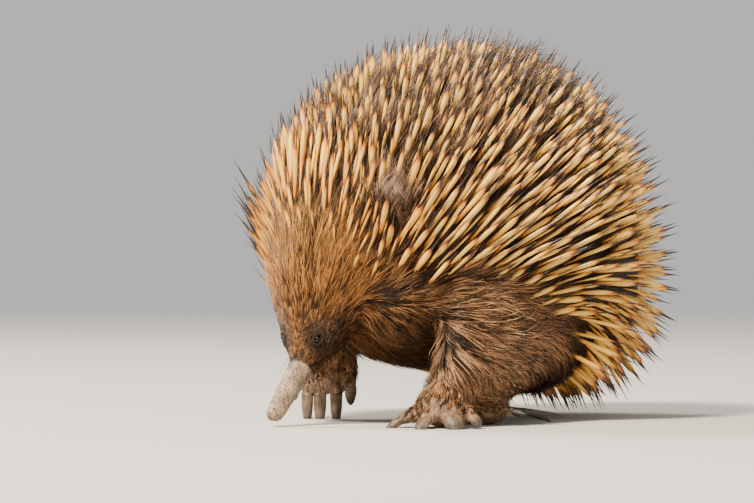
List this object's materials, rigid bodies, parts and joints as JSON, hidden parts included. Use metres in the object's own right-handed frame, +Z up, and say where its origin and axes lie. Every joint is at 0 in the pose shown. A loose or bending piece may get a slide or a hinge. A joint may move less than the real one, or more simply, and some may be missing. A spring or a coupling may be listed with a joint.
{
  "type": "echidna model",
  "caption": "Still, life-size short-beaked echidna, walking with its head down: a domed body under a mantle of spines, a bare tubular beak and broad digging claws.",
  "frame": {"origin": "on the ground, under the middle of the whole animal's box", "axes": "+Z up, the animal faces -X, its left side is towards -Y"},
  "size_m": [0.3098, 0.2388, 0.244],
  "materials": {
    "fur_and_spines": "coarse brown fur with cream spines",
    "leg_fur": "brown fur",
    "bare_beak": "fine grey skin",
    "foot_skin": "wrinkled grey-brown skin",
    "ear_skin": "thin pinkish brown skin",
    "fore_claw": "worn grey-brown horn",
    "hind_claw": "black horn",
    "eye": "wet and black"
  },
  "bodies": {
    "root": {"head": "fur_and_spines", "torso": "fur_and_spines", "tail": "fur_and_spines", "beak": "bare_beak", "foreleg_left": "leg_fur", "hindleg_left": "leg_fur", "forefoot_left": "foot_skin", "hindfoot_left": "foot_skin", "ear_left": "ear_skin", "eye_left": "eye", "fore_claw_left_1": "fore_claw", "hind_claw_left_1": "hind_claw", "fore_claw_left_2": "fore_claw", "hind_claw_left_2": "hind_claw", "fore_claw_left_3": "fore_claw", "hind_claw_left_3": "hind_claw", "fore_claw_left_4": "fore_claw", "hind_claw_left_4": "hind_claw", "fore_claw_left_5": "fore_claw", "hind_claw_left_5": "hind_claw", "foreleg_right": "leg_fur", "hindleg_right": "leg_fur", "forefoot_right": "foot_skin", "hindfoot_right": "foot_skin", "ear_right": "ear_skin", "eye_right": "eye", "fore_claw_right_1": "fore_claw", "hind_claw_right_1": "hind_claw", "fore_claw_right_2": "fore_claw", "hind_claw_right_2": "hind_claw", "fore_claw_right_3": "fore_claw", "hind_claw_right_3": "hind_claw", "fore_claw_right_4": "fore_claw", "hind_claw_right_4": "hind_claw", "fore_claw_right_5": "fore_claw", "hind_claw_right_5": "hind_claw"}
  },
  "joints": []
}
